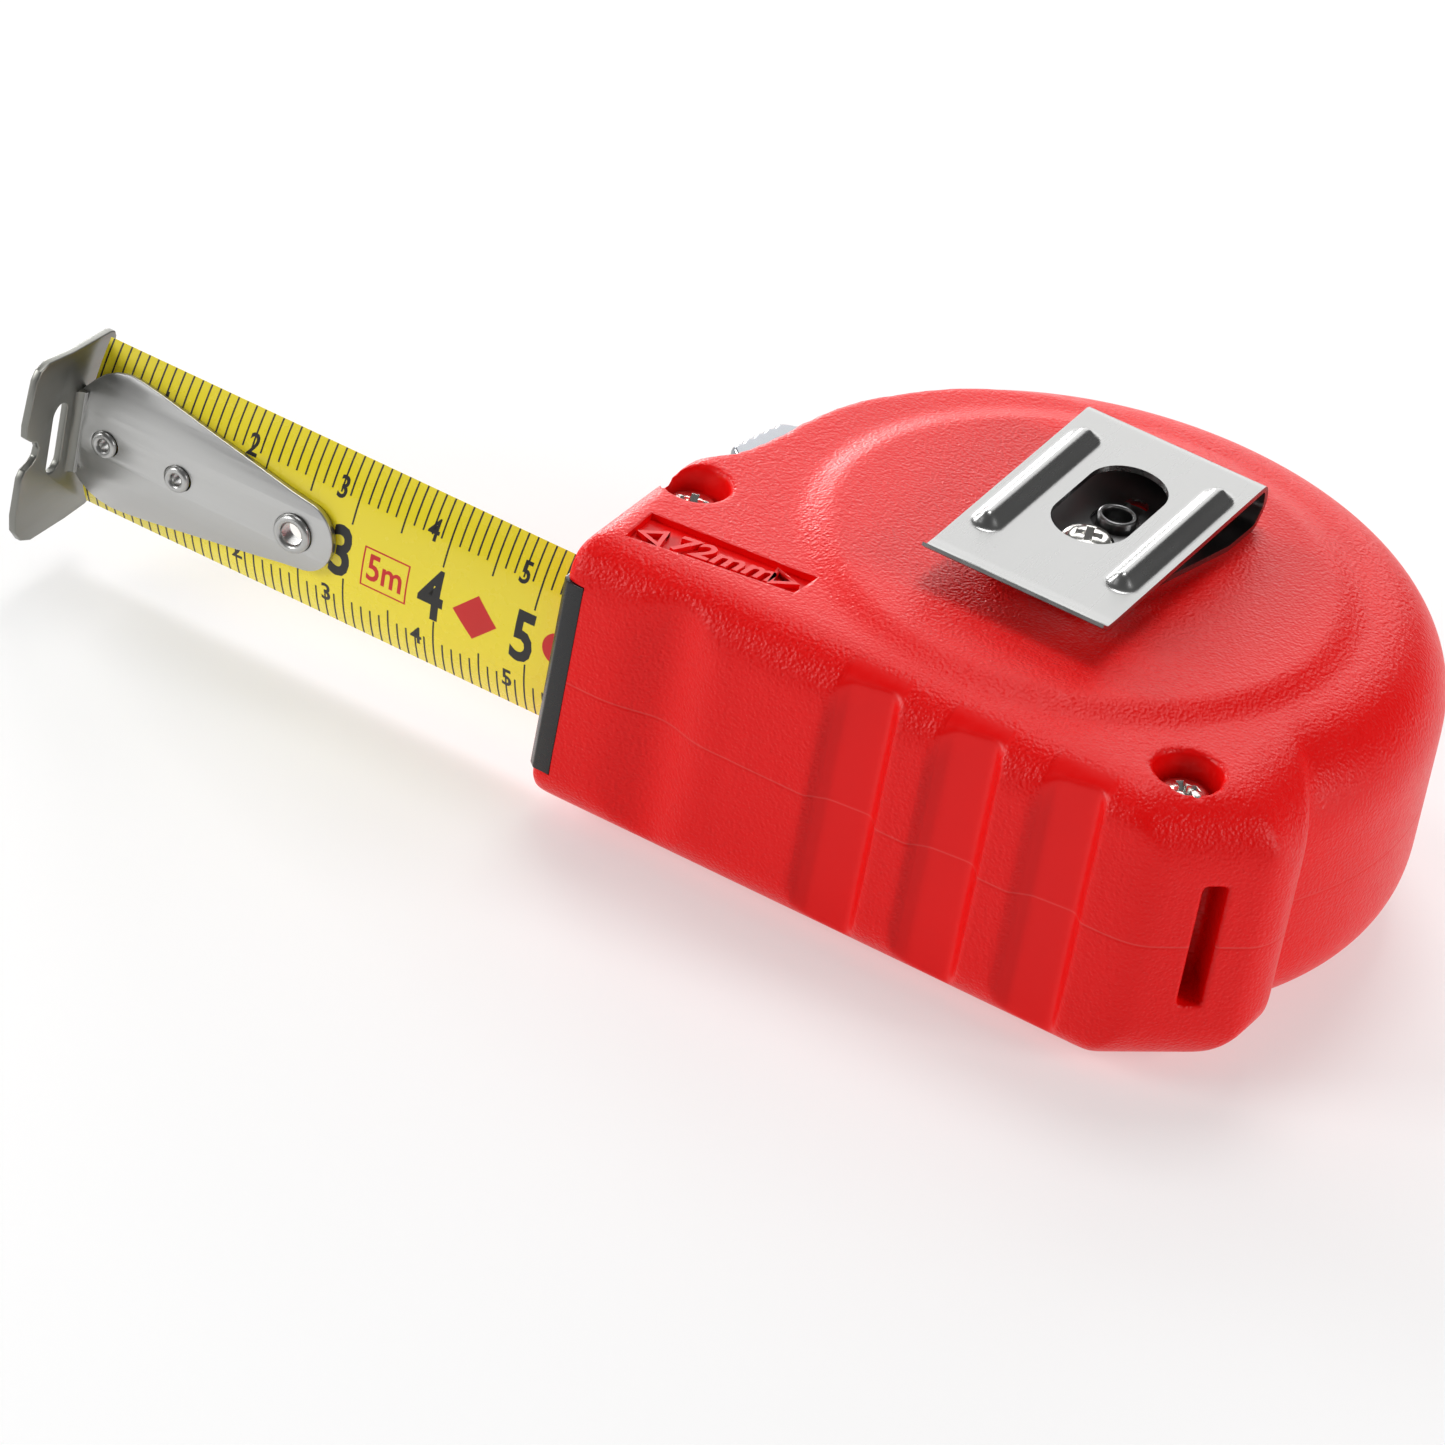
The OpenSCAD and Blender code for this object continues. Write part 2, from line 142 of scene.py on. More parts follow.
def prism(points, z0, z1, bm=None):
    bm = bm or bmesh.new()
    face = outline(bm, points, z0)
    made = bmesh.ops.extrude_face_region(bm, geom=[face])
    bmesh.ops.translate(bm, vec=(0, 0, z1 - z0), verts=[v for v in made["geom"] if isinstance(v, bmesh.types.BMVert)])
    return bm


def block(bm, low, high):
    made = bmesh.ops.create_cube(bm, size=1)["verts"]
    bmesh.ops.scale(bm, vec=[high[i] - low[i] for i in range(3)], verts=made)
    bmesh.ops.translate(bm, vec=[(high[i] + low[i]) / 2 for i in range(3)], verts=made)
    return made


# points are (radius, height), and ends on the axis close the shape
def spinProfile(points, axis=(0, 0, 1), centre=(0, 0, 0), steps=96, bm=None):
    bm = bm or bmesh.new()
    verts = [bm.verts.new((r, 0, z)) for r, z in points]
    edges = [bm.edges.new((verts[i], verts[i + 1])) for i in range(len(verts) - 1)]
    if points[0][0] > 0 and points[-1][0] > 0:
        edges.append(bm.edges.new((verts[-1], verts[0])))
    before = set(bm.verts) - set(verts)
    bmesh.ops.spin(bm, geom=verts + edges, cent=(0, 0, 0), axis=(0, 0, 1), dvec=(0, 0, 0), angle=2 * pi,
                   steps=steps, use_merge=True, use_duplicate=False)
    mine = [v for v in bm.verts if v not in before]
    bmesh.ops.remove_doubles(bm, verts=mine, dist=0.0005)
    mine = [v for v in bm.verts if v not in before]
    turn = Vector((0, 0, 1)).rotation_difference(Vector(axis)).to_matrix()
    bmesh.ops.rotate(bm, cent=(0, 0, 0), matrix=turn, verts=mine)
    bmesh.ops.translate(bm, vec=centre, verts=mine)
    return bm


def arc(cx, cy, r, a0, a1, n=8):
    return [(cx + r * cos(radians(a0 + (a1 - a0) * i / n)), cy + r * sin(radians(a0 + (a1 - a0) * i / n)))
            for i in range(n + 1)]


# rounded rectangle, with its own rounding at each end of w
def roundBar(w0, w1, h0, h1, rl, rr):
    return (arc(w1 - rr, h1 - rr, rr, 90, 0) + arc(w1 - rr, h0 + rr, rr, 0, -90)
            + arc(w0 + rl, h0 + rl, rl, 270, 180) + arc(w0 + rl, h1 - rl, rl, 180, 90))


def obround(cx, cy, length, r, n=12):
    h = length / 2 - r
    return arc(cx, cy + h, r, 0, 180, n) + arc(cx, cy - h, r, 180, 360, n)


def bevelSharp(bm, width, segments=2, angle=40):
    bmesh.ops.recalc_face_normals(bm, faces=bm.faces)
    sharp = [e for e in bm.edges if len(e.link_faces) == 2 and e.calc_face_angle(0) > radians(angle)]
    bmesh.ops.bevel(bm, geom=sharp, offset=width, offset_type="OFFSET", segments=segments, profile=0.5,
                    affect="EDGES", material=-1, clamp_overlap=True)


def smoothStep(a, b, x):
    t = min(1, max(0, (x - a) / (b - a)))
    return t * t * (3 - 2 * t)


class Nodes:      # short hand for building a material
    def __init__(self, name, colour=(0.5, 0.5, 0.5), rough=0.5, metal=0.0, spec=0.5):
        self.mat = bpy.data.materials.new(name)
        self.mat.use_nodes = True
        self.tree = self.mat.node_tree
        self.shader = self.tree.nodes["Principled BSDF"]
        self.set("Base Color", (*colour, 1))
        self.set("Roughness", rough)
        self.set("Metallic", metal)
        self.set("Specular IOR Level", spec)
        self.mat.diffuse_color = (*colour, 1)
        self.coords = self.tree.nodes.new("ShaderNodeTexCoord").outputs["Object"]

    def set(self, socket, value):
        self.shader.inputs[socket].default_value = value

    def add(self, kind, **values):
        node = self.tree.nodes.new(kind)
        for k, v in values.items():
            if k.startswith("in_"):
                node.inputs[k[3:].replace("_", " ")].default_value = v
            else:
                setattr(node, k, v)
        return node

    def link(self, a, b):
        self.tree.links.new(a, b)
        return b

    def mapped(self, scale=(1, 1, 1)):
        node = self.add("ShaderNodeMapping")
        node.inputs["Scale"].default_value = scale
        self.link(self.coords, node.inputs["Vector"])
        return node.outputs["Vector"]

    def noise(self, scale, detail=3, rough=0.5, source=None):
        node = self.add("ShaderNodeTexNoise", in_Scale=scale, in_Detail=detail, in_Roughness=rough)
        self.link(source or self.coords, node.inputs["Vector"])
        return node.outputs["Fac"]

    def ramp(self, source, low, high, a, b):
        node = self.add("ShaderNodeMapRange")
        node.inputs["From Min"].default_value, node.inputs["From Max"].default_value = low, high
        node.inputs["To Min"].default_value, node.inputs["To Max"].default_value = a, b
        self.link(source, node.inputs["Value"])
        return node.outputs["Result"]

    def math(self, how, a, b):
        node = self.add("ShaderNodeMath", operation=how)
        for i, v in enumerate((a, b)):
            if isinstance(v, (int, float)):
                node.inputs[i].default_value = v
            else:
                self.link(v, node.inputs[i])
        return node.outputs[0]

    def colourMix(self, fac, a, b):
        node = self.add("ShaderNodeMix", data_type="RGBA")
        node.inputs["A"].default_value, node.inputs["B"].default_value = (*a, 1), (*b, 1)
        self.link(fac, node.inputs["Factor"])
        self.link(node.outputs["Result"], self.shader.inputs["Base Color"])

    def overlay(self, fac, colour):      # over the colour that is already there
        under = self.shader.inputs["Base Color"].links[0].from_socket
        node = self.add("ShaderNodeMix", data_type="RGBA")
        node.inputs["B"].default_value = (*colour, 1)
        self.link(fac, node.inputs["Factor"])
        self.link(under, node.inputs["A"])
        self.link(node.outputs["Result"], self.shader.inputs["Base Color"])

    def roughness(self, fac, a, b):
        self.link(self.ramp(fac, 0.3, 0.7, a, b), self.shader.inputs["Roughness"])

    def bump(self, height, distance, strength=1.0):
        node = self.add("ShaderNodeBump", in_Distance=distance, in_Strength=strength)
        self.link(height, node.inputs["Height"])
        self.link(node.outputs["Normal"], self.shader.inputs["Normal"])


def grainedRed(s):
    n = Nodes("case_red", s["colour"], s["rough"], 0, s["shine"])
    cloud = n.noise(90, 2)
    n.colourMix(cloud, s["dark"], s["colour"])
    cells = n.add("ShaderNodeTexVoronoi", feature="SMOOTH_F1", in_Scale=s["cells"])
    n.link(n.coords, cells.inputs["Vector"])
    fine = n.noise(s["cells"] * 0.8, 3, 0.6)
    leather = n.math("ADD", cells.outputs["Distance"], n.math("MULTIPLY", fine, 0.9))
    mask = n.add("ShaderNodeAttribute", attribute_name="grain").outputs["Fac"]
    n.roughness(n.noise(1200, 2), s["rough"] - 0.03, s["rough"] + 0.05)
    n.bump(n.math("MULTIPLY", leather, mask), s["depth"])
    split = n.add("ShaderNodeSeparateXYZ")
    n.link(n.coords, split.inputs["Vector"])
    off = n.math("ABSOLUTE", n.math("SUBTRACT", split.outputs["Z"], midZ * mm), 0)
    n.overlay(n.ramp(off, 0, s["seam"], 0.55, 0), s["seamHighlightColour"])      # painted highlight: a pale line where the halves meet
    return n.mat


# the seam colour is a painted highlight along the parting line
redSet = {"colour": (0.87, 0.0015, 0.0012), "dark": (0.80, 0.001, 0.001), "rough": 0.34,
          "cells": 3300, "depth": 0.00008, "seam": 0.00014, "seamHighlightColour": (0.9, 0.09, 0.08), "shine": 0.25}
caseRed = grainedRed(redSet)


def plainPlastic(name, colour, rough, dark=0.8):
    n = Nodes(name, colour, rough)
    n.colourMix(n.noise(150, 2), tuple(c * dark for c in colour), colour)
    n.roughness(n.noise(900, 3), rough - 0.05, rough + 0.06)
    n.bump(n.noise(2500, 2), 0.00001, 0.5)
    return n.mat


def sheetMetal(name, colour, rough, scale=(1, 1, 1), depth=0.000004, spread=0.06):
    n = Nodes(name, colour, rough, 1.0)
    lines = n.noise(400, 5, 0.6, n.mapped(scale))
    n.colourMix(lines, tuple(c * 0.9 for c in colour), colour)
    n.roughness(lines, rough - spread / 2, rough + spread / 2)
    n.bump(lines, depth, 0.6)
    return n.mat


glossRed = plainPlastic("case_red_gloss", (0.85, 0.003, 0.003), 0.3, 0.95)
blackGloss = plainPlastic("lip_black", (0.012, 0.012, 0.013), 0.25)
blackPlastic = plainPlastic("black_plastic", (0.02, 0.02, 0.022), 0.45)
whitePlastic = plainPlastic("washer_white", (0.75, 0.75, 0.72), 0.4, 0.95)
rubber = plainPlastic("brake_rubber", (0.03, 0.03, 0.03), 0.8)
clipSteel = sheetMetal("clip_nickel", (0.37, 0.37, 0.365), 0.27, (1, 0.15, 1))
# darker steel under the leaf, over the foot and on the boss: painted shade
clipShadeSteel = sheetMetal("clip_painted_shade", (0.22, 0.22, 0.22), 0.3, (1, 0.15, 1))
hookSteel = sheetMetal("hook_brushed", (0.56, 0.56, 0.55), 0.36, (0.12, 4, 4), 0.000012, 0.12)
# darker steel for the hook's tab: painted shade
tabShadeSteel = sheetMetal("tab_painted_shade", (0.24, 0.24, 0.22), 0.38, (1, 0.12, 1), 0.00002, 0.15)
rivetSteel = sheetMetal("rivet_steel", (0.50, 0.50, 0.49), 0.33)
screwSteel = sheetMetal("screw_steel", (0.75, 0.74, 0.70), 0.18)
darkSteel = sheetMetal("dark_steel", (0.30, 0.30, 0.31), 0.35)
chrome = sheetMetal("slider_chrome", (0.30, 0.31, 0.33), 0.14)
springSteel = sheetMetal("spring_steel", (0.25, 0.28, 0.33), 0.3)


def bladeLacquer(s):
    n = Nodes("blade_yellow", s["colour"], s["rough"])
    n.colourMix(n.noise(60, 2), s["dark"], s["colour"])
    n.roughness(n.noise(500, 3), s["rough"] - 0.03, s["rough"] + 0.05)
    n.set("Coat Weight", 0.4)
    n.set("Coat Roughness", 0.08)
    n.bump(n.noise(700, 2, 0.5, n.mapped((0.3, 1, 1))), 0.000004, 0.4)
    return n.mat


bladeYellow = bladeLacquer({"colour": (0.95, 0.80, 0.02), "dark": (0.93, 0.75, 0.012), "rough": 0.26})
printBlack = plainPlastic("print_black", (0.012, 0.011, 0.01), 0.35)
printRed = plainPlastic("print_red", (0.70, 0.01, 0.008), 0.35)
print("materials made")


caseSet = {
    "domeR": 35.5, "rim": 8, "discIn": 23.7, "discOut": 26.3, "discEdge": 0.6, "thick": (1, 30),
    "length": 71.2, "gripRound": 5, "noseRound": 2.4, "heelRound": 8, "heelTrim": (62.6, 1.3, 43.5, 6), "trimTo": 4.5,
    # outline of the nose, base and heel, from the mouth and the base
    "plan": [(0, 1.2), (0.4, 0.5), (1.2, 0.1), (4, 0), (7, 0), (9.4, 0.7), (12, 1.45), (14, 0.9), (16.2, 0),
             (19, 0), (24, 0.25), (29, 0.25), (35, 0.4), (45, 0.5), (57, 0.5), (60.5, 0.6), (62.6, 1.3),
             (65.6, 3.8), (68.4, 6.4), (70.3, 8.6), (71.1, 10.6), (71.2, 12.6), (70.5, 14.4), (68.6, 17.4),
             (60, 25), (32, 58), (20.5, 56.3), (15.8, 53.3), (12.2, 50), (9.0, 45.4), (7.0, 41.7),
             (5.8, 38.4), (5.1, 34.9), (4.4, 29.5), (3.4, 24.8), (1.5, 22.5), (0, 21)],
    "grooves": (28.6, 10.7, 6.1, 1.2), "padLow": (-12.2, -5.5), "padHigh": (11.5, 19), "padRound": 3,
    "screws": [(3.4, 17.2), (60.2, 8.5)], "pocketR": 3.2, "pocketFloor": 26.4, "bossR": 3.9,
    "cordSlot": (66, 6, 2.3, 13, 36),
    "panel": [(3.4, 4.5), (19.6, 7.5), (19.9, 11.2), (3.2, 9.5)], "panelFloor": 29.35,
    "wall": 2, "chamber": (2.8, 28.2), "keep": 3.2, "channel": (2.2, 9.3, 55, 20.6), "lipSeat": (2.4, 3),
    "window": (166, 185, 13), "gap": 0.004,
    "coarse": 0.5, "blend": 9, "fine": 0.32, "soften": 4,
}


def alongX(bm):       # a section drawn as (y, z) is laid along x
    bmesh.ops.transform(bm, matrix=Matrix(((0, 0, 1, 0), (1, 0, 0, 0), (0, 1, 0, 0), (0, 0, 0, 1))), verts=bm.verts)
    return bm


def rounded(points, cut=1.2):     # two rounds of corner cutting
    for i in range(2):
        made = []
        for k, a in enumerate(points):
            a, b = Vector(a), Vector(points[(k + 1) % len(points)])
            q = min(0.25, cut / (b - a).length)
            made += [tuple(a.lerp(b, q)), tuple(a.lerp(b, 1 - q))]
        points = made
    return points


def caseBody(s):
    z0, z1 = s["thick"]
    k, rim, g = s["domeR"] - s["rim"], s["rim"], s["gripRound"]
    side = [(0, discTop), (s["discIn"], discTop), (s["discOut"], z1), (k, z1)] + arc(k, z1 - rim, rim, 90, 0, 14)
    side += arc(k, z0 + rim, rim, 0, -90, 14) + [(s["discOut"], z0), (s["discIn"], 0), (0, 0)]
    body = finishMesh(spinProfile(side, steps=160), "case_outer")
    grip = finishMesh(prism([(front + x, base + y) for x, y in rounded(s["plan"])], 0, discTop), "grip")
    slab = prism(roundBar(front, front + s["length"], z0, z1, s["noseRound"], s["heelRound"]), -60, 60)
    bmesh.ops.rotate(slab, cent=(0, 0, 0), matrix=Matrix.Rotation(radians(90), 3, "X"), verts=slab.verts)
    combine(grip, finishMesh(slab, "slab"), "INTERSECT", "EXACT")
    combine(body, grip, "UNION", "EXACT")
    # the long edges of the base are rounded, but not the discs above it
    trim = alongX(prism(roundBar(base, base + 90, z0, z1, g, g), -60, 60))
    hx, hy, turn, r = s["heelTrim"]       # the same rounding along the slanted corner of the heel
    corner = alongX(prism(roundBar(0, 90, z0, z1, r, r), -90, 90))
    bmesh.ops.rotate(corner, cent=(0, 0, 0), matrix=Matrix.Rotation(radians(turn), 3, "Z"), verts=corner.verts)
    bmesh.ops.translate(corner, vec=(front + hx, base + hy, 0), verts=corner.verts)
    trim = combine(finishMesh(trim, "trim"), finishMesh(corner, "corner"), "INTERSECT", "EXACT")
    wide = s["discOut"] + s["discEdge"]
    above = finishMesh(spinProfile([(0, -1), (wide, -1), (wide, discTop + 1), (0, discTop + 1)]), "above")
    low = bmesh.new()
    block(low, (-60, base + s["trimTo"], -2), (60, 60, discTop + 2))
    combine(above, finishMesh(low, "low"), "INTERSECT", "EXACT")
    combine(body, combine(trim, above, "UNION", "EXACT"), "INTERSECT", "EXACT")
    remesh(body, s["coarse"], s["blend"])
    print("case body blended,", len(body.data.polygons), "faces")
    return body


def grooveCutter(s):
    gx, pitch, wide, deep = s["grooves"]
    z0, z1 = s["thick"]
    cut = bmesh.new()
    for i in range(3):
        x = front + gx + pitch * i
        prism([(x - 0.6, base - 3), (x - 0.6, base + 0.2), (x + 1.2, base + deep), (x + wide - 0.7, base + deep + 0.5),
               (x + wide + 0.5, base + 0.4), (x + wide + 0.8, base - 3)], -2, discTop + 2, cut)
    grooves = finishMesh(cut, "grooves")
    g = s["gripRound"] - 0.6
    inner = alongX(prism(roundBar(base + deep + 0.5, base + 60, z0 + 0.9, z1 - 0.9, g, g), -60, 60))
    return combine(grooves, finishMesh(inner, "inner"), "DIFFERENCE", "EXACT")


def pocketCutter(s):
    cut = bmesh.new()
    r, floor, top = s["pocketR"], s["pocketFloor"], s["thick"][1]
    for x, y in s["screws"]:
        spinProfile([(0, floor), (r, floor), (r, top - 0.1), (r + 0.5, top + 0.5), (r + 0.5, discTop + 3),
                     (0, discTop + 3)], centre=(front + x, base + y, 0), steps=48, bm=cut)
    return finishMesh(cut, "pockets")


def cordSlotCutter(s):
    x, y, wide, length, turn = s["cordSlot"]
    bm = bmesh.new()
    made = block(bm, (-wide / 2, -4.5, midZ - length / 2), (wide / 2, 4.5, midZ + length / 2))
    bmesh.ops.rotate(bm, cent=(0, 0, 0), matrix=Matrix.Rotation(radians(turn), 3, "Z"), verts=made)
    bmesh.ops.translate(bm, vec=(front + x, base + y, 0), verts=made)
    return finishMesh(bm, "cord_slot")


def chamberCutter(s):
    lo, hi = s["chamber"]
    r, e = s["domeR"] - s["wall"], s["rim"] - s["wall"]
    side = [(0, lo), (r - e, lo)] + arc(r - e, lo + e, e, -90, 0, 6) + arc(r - e, hi - e, e, 0, 90, 6) + [(0, hi)]
    room = finishMesh(spinProfile(side, steps=96), "room")
    keep = bmesh.new()
    for x, y in s["screws"]:
        spinProfile([(0, -1), (s["bossR"], -1), (s["bossR"], 40), (0, 40)], centre=(front + x, base + y, 0),
                    steps=32, bm=keep)
    combine(room, finishMesh(keep, "bosses"), "DIFFERENCE", "EXACT")
    keep = bmesh.new()
    block(keep, (-60, -60, -1), (60, base + s["keep"], 40))
    combine(room, finishMesh(keep, "floor_keep"), "DIFFERENCE", "EXACT")
    mouth = bmesh.new()
    low, high, length, width = s["channel"]
    w = width / 2
    block(mouth, (front - 2, base + low, midZ - w), (front + length, base + high, midZ + w))
    seat, rise = s["lipSeat"]
    block(mouth, (front - 2, base - 2, midZ - w), (front + seat, base + rise, midZ + w))
    combine(room, finishMesh(mouth, "mouth"), "UNION", "EXACT")
    a0, a1, w = s["window"]
    window = prism(arc(0, 0, 31, a0, a1) + arc(0, 0, 40, a1, a0), midZ - w / 2, midZ + w / 2)
    combine(room, finishMesh(window, "window"), "UNION", "EXACT")
    return room


# leather grain everywhere but on the floors of the grooves and in the pockets
def paintGrain(obj, s):
    gx, pitch, wide, deep = s["grooves"]
    layer = obj.data.attributes.new("grain", "FLOAT", "POINT")
    values = []
    for v in obj.data.vertices:
        x, y, z = v.co / mm
        g = 1.0
        if y < base + 4:
            for i in range(3):
                start = front + gx + pitch * i
                end = start + wide
                inside = smoothStep(start - 0.3, start + 0.3, x) * (1 - smoothStep(end - 0.2, end + 0.5, x))
                g = min(g, 1 - inside * (1 - smoothStep(base + 2.6, base + 4, y)))
        for px, py in s["screws"]:
            if (x - front - px) ** 2 + (y - base - py) ** 2 < (s["pocketR"] + 0.15) ** 2 and z > 20:
                g = 0
        values.append(g)
    layer.data.foreach_set("value", values)


def halfOf(obj, name, z0, z1):
    half = obj.copy()
    half.data = obj.data.copy()
    half.name = half.data.name = name
    scene.collection.objects.link(half)
    bm = bmesh.new()
    block(bm, (-100, -100, z0), (100, 100, z1))
    return combine(half, finishMesh(bm, "side"), "INTERSECT")


def addCase(s):
    body = caseBody(s)
    (xa, ya), (xb, yb), r = s["padLow"], s["padHigh"], s["padRound"]
    combine(body, finishMesh(prism(roundBar(xa, xb, ya, yb, r, r), discTop - 2, discTop), "pad"), "UNION")
    for cutter in (grooveCutter(s), pocketCutter(s), cordSlotCutter(s)):
        combine(body, cutter)
    remesh(body, s["fine"], s["soften"])
    paintGrain(body, s)
    panel = prism([(front + x, base + y) for x, y in s["panel"]], s["panelFloor"], discTop + 2)
    combine(body, finishMesh(panel, "panel"))
    combine(body, chamberCutter(s))
    upper = halfOf(body, "case_upper_shell", midZ + s["gap"], 60)
    lower = halfOf(body, "case_lower_shell", -20, midZ - s["gap"])
    bpy.data.objects.remove(body)
    for obj, node in ((upper, "case_upper"), (lower, "case_lower")):
        obj.data.materials.clear()
        obj.data.materials.append(caseRed)
        smoothByAngle(obj, 50)
        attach(obj, "case")
        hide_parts(node)
        print(obj.name, len(obj.data.polygons), "faces")


addCase(caseSet)


# flat lettering in the plane of x and y, centred at place
def textMesh(bm, words, size, place, turn=0, squeeze=1, bold=0.0, thick=0.01, slant=0.0, flip=False):
    curve = bpy.data.curves.new("words", "FONT")
    curve.body, curve.size, curve.offset, curve.shear = words, size, bold, slant
    curve.align_x, curve.align_y, curve.extrude, curve.resolution_u = "CENTER", "CENTER", thick / 2, 3
    obj = bpy.data.objects.new("words", curve)
    scene.collection.objects.link(obj)
    bpy.context.view_layer.update()
    mesh = bpy.data.meshes.new_from_object(obj.evaluated_get(bpy.context.evaluated_depsgraph_get()))
    m = Matrix.Translation(place) @ Matrix.Rotation(radians(turn), 4, "Z") @ Matrix.Diagonal((squeeze, 1, 1, 1))
    if flip:
        m = Matrix.Translation(place) @ Matrix.Rotation(pi, 4, "X") @ Matrix.Diagonal((squeeze, 1, 1, 1))
    mesh.transform(m)
    bm.from_mesh(mesh)
    bpy.data.objects.remove(obj)
    bpy.data.curves.remove(curve)
    bpy.data.meshes.remove(mesh)


markSet = {"size": 3.8, "turn": 10.5, "squeeze": 1.05, "bold": 0.07, "slant": 0.25,
           "words": (11.8, 7.8), "leftArrow": (5.4, 6.5), "rightArrow": (17.4, 8.9), "arrow": (1.8, 0.95),
           "floor": 29.3, "height": 0.6}


# the case's own length, raised in its panel
def addCaseMark(s):
    bm = bmesh.new()
    z = s["floor"] + s["height"] / 2
    textMesh(bm, "72mm", s["size"], (front + s["words"][0], base + s["words"][1], z), s["turn"], s["squeeze"],
             s["bold"], s["height"], s["slant"])
    for aim, (x, y) in ((180, s["leftArrow"]), (0, s["rightArrow"])):
        turn = radians(s["turn"] + aim)
        corners = [turn + i * 2 * pi / 3 for i in range(3)]
        outer, inner = ([(front + x + r * cos(a), base + y + r * sin(a)) for a in corners] for r in s["arrow"])
        for i in range(3):
            j = (i + 1) % 3
            prism([outer[i], outer[j], inner[j], inner[i]], s["floor"], s["floor"] + s["height"], bm)
    obj = finishMesh(bm, "case_length_mark")
    obj.data.materials.append(glossRed)
    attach(obj, "case")


addCaseMark(markSet)


lipSet = {"depth": 2.4, "height": 2.2, "width": 20.4, "bevel": 0.7}


def addLip(s):
    bm = bmesh.new()
    w = s["width"] / 2
    block(bm, (front, base, midZ - w), (front + s["depth"], base + s["height"], midZ + w))
    low = [e for e in bm.edges if all(v.co.x < front + 0.1 and v.co.y < base + 0.1 for v in e.verts)]
    bmesh.ops.bevel(bm, geom=low, offset=s["bevel"], offset_type="OFFSET", segments=1, profile=0.5,
                    affect="EDGES", material=-1)
    bevelSharp(bm, 0.12, 2, 30)
    obj = finishMesh(bm, "mouth_lip_black")
    obj.data.materials.append(blackGloss)
    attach(obj, "case")
    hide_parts("mouth_lip")


addLip(lipSet)
print("case done")


bladeSet = {"tip": -90.5, "gap": 0.6, "width": 19, "thick": 0.15, "radius": 18, "middleY": -27.7, "end": -33.3,
            "tick": 0.17, "long": 6.5, "half": 5.2, "short": 4.0, "ink": 0.012,
            "rivets": (3.5, 11.7), "eyelet": 24.6, "rivetHole": 0.95, "eyeletHole": 1.48,
            "bigSize": 7.4, "smallSize": 3.1, "lengthMark": 34.3, "redMark": 44.2, "redDisc": 53.2, "last": 56}


# (x, across, outwards) in a flat sheet becomes its place on the curved blade
def bendSheet(bm, s, step=0.8):
    half = s["width"] / 2 + 1
    n = int(half / step)
    for i in range(-n, n + 1):
        bmesh.ops.bisect_plane(bm, geom=bm.verts[:] + bm.edges[:] + bm.faces[:], plane_co=(0, i * step, 0),
                               plane_no=(0, 1, 0))
    r = s["radius"]
    for v in bm.verts:
        x, across, out = v.co
        a = across / r
        v.co = (x, s["middleY"] + r - (r + out) * cos(a), midZ + (r + out) * sin(a))


def addBlade(s):
    bm = bmesh.new()
    block(bm, (s["tip"] + s["gap"], -s["width"] / 2, -s["thick"]), (s["end"], s["width"] / 2, 0))
    strip = finishMesh(bm, "blade_strip")
    cut = bmesh.new()
    for x, r in [(x, s["rivetHole"]) for x in s["rivets"]] + [(s["eyelet"], s["eyeletHole"])]:
        spinProfile([(0, -2), (r, -2), (r, 2), (0, 2)], centre=(s["tip"] + x, 0, 0), steps=40, bm=cut)
    combine(strip, finishMesh(cut, "holes"), "DIFFERENCE", "EXACT")
    bm = bmesh.new()
    bm.from_mesh(strip.data)
    bpy.data.objects.remove(strip)
    bmesh.ops.scale(bm, vec=(1 / mm,) * 3, verts=bm.verts)
    bendSheet(bm, s)
    obj = finishMesh(bm, "blade_strip")
    obj.data.materials.append(bladeYellow)
    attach(obj, "blade")
    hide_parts("blade")


# black ticks and numerals, and red marks, on both faces of the blade
def addScale(s):
    black, red = bmesh.new(), bmesh.new()
    half, ink, tip = s["width"] / 2, s["ink"], s["tip"]
    for face in (1, -1):
        low = 0 if face > 0 else -s["thick"] - ink
        mid = low + ink / 2
        back = face < 0
        for i in range(1, s["last"] + 1):
            x = tip + i
            length = s["long"] if i % 10 == 0 else s["half"] if i % 5 == 0 else s["short"]
            for edge in (1, -1):
                y0, y1 = sorted((edge * (half - 0.02), edge * (half - length)))
                block(black, (x - s["tick"] / 2, y0, low), (x + s["tick"] / 2, y1, low + ink))
        for n in range(1, 6):
            x = tip + 10 * n
            textMesh(black, str(n), s["bigSize"], (x - 0.6, -0.5 * face, mid), 0, 0.72, 0.19, ink, 0, back)
            for edge in (1, -1):
                textMesh(black, str(n), s["smallSize"], (x - 1.9, edge * 5.9, mid), 0, 0.8, 0.05, ink, 0, back)
        x, y = tip + s["lengthMark"], -0.5 * face
        textMesh(red, "5m", 4.0, (x, y, mid), 0, 0.8, 0.06, ink, 0, back)
        frameMark(red, x, y, 5.0, 4.3, 0.16, low, ink)
        lozenge(red, tip + s["redMark"], -0.5 * face, 2.4, low, ink)
        bmesh.ops.create_cone(red, cap_ends=True, segments=32, radius1=1.7, radius2=1.7, depth=ink,
                              matrix=Matrix.Translation((tip + s["redDisc"], 0.2 * face, mid)))
    for bm, name, mat in ((black, "scale_black", printBlack), (red, "scale_red", printRed)):
        bendSheet(bm, s, 0.7)
        obj = finishMesh(bm, name, merge=0.00001)
        obj.data.materials.append(mat)
        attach(obj, "blade")


def frameMark(bm, x, y, w, h, line, low, ink):
    w, h = w / 2, h / 2
    for x0, x1, y0, y1 in ((-w, w, h - line, h), (-w, w, -h, -h + line),
                           (-w, -w + line, -h + line, h - line), (w - line, w, -h + line, h - line)):
        block(bm, (x + x0, y + y0, low), (x + x1, y + y1, low + ink))


